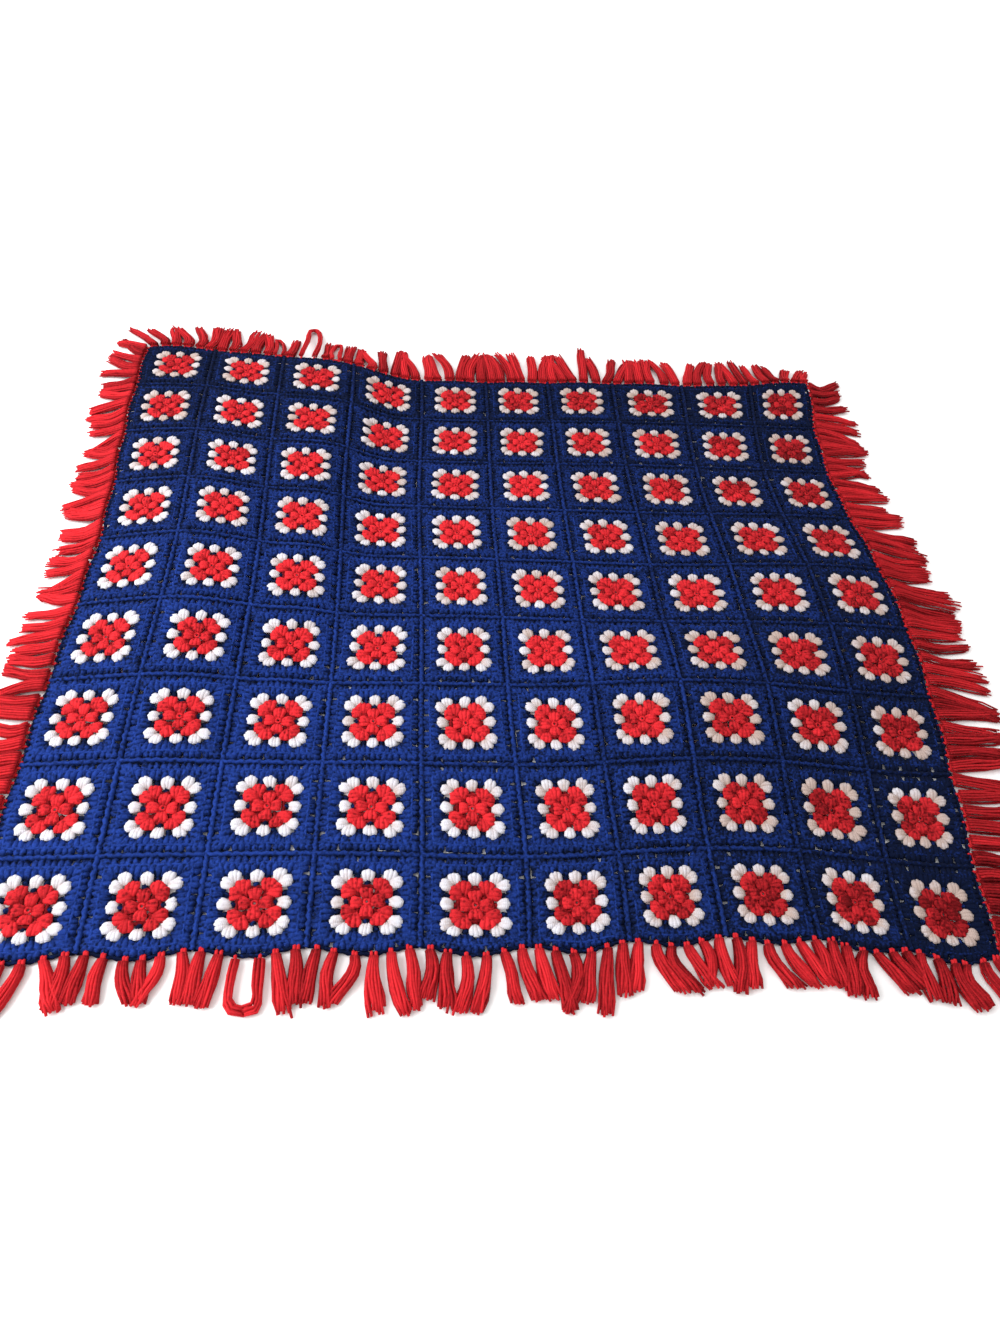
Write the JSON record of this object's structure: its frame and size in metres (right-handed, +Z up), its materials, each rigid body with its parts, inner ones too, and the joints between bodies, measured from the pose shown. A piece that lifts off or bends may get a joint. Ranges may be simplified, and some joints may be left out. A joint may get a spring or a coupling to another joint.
{
  "type": "granny square blanket",
  "caption": "Crocheted granny square blanket with a knotted fringe round its edge, laid out on a surface in soft folds.",
  "frame": {"origin": "middle of the blanket's box, on the surface that it lies on", "axes": "+X across the wide side from left to right, +Y from the near edge to the far edge, +Z up from the surface"},
  "size_m": [1.7376, 1.5986, 0.0515],
  "materials": {
    "blue_yarn": "matt acrylic yarn, royal blue",
    "white_yarn": "matt acrylic yarn, white to cream",
    "red_yarn": "matt acrylic yarn, bright red"
  },
  "bodies": {
    "root": {"crochet_field": "blue_yarn", "fringe_near": "red_yarn", "fringe_right": "red_yarn", "fringe_far": "red_yarn", "fringe_left": "red_yarn"}
  },
  "joints": []
}
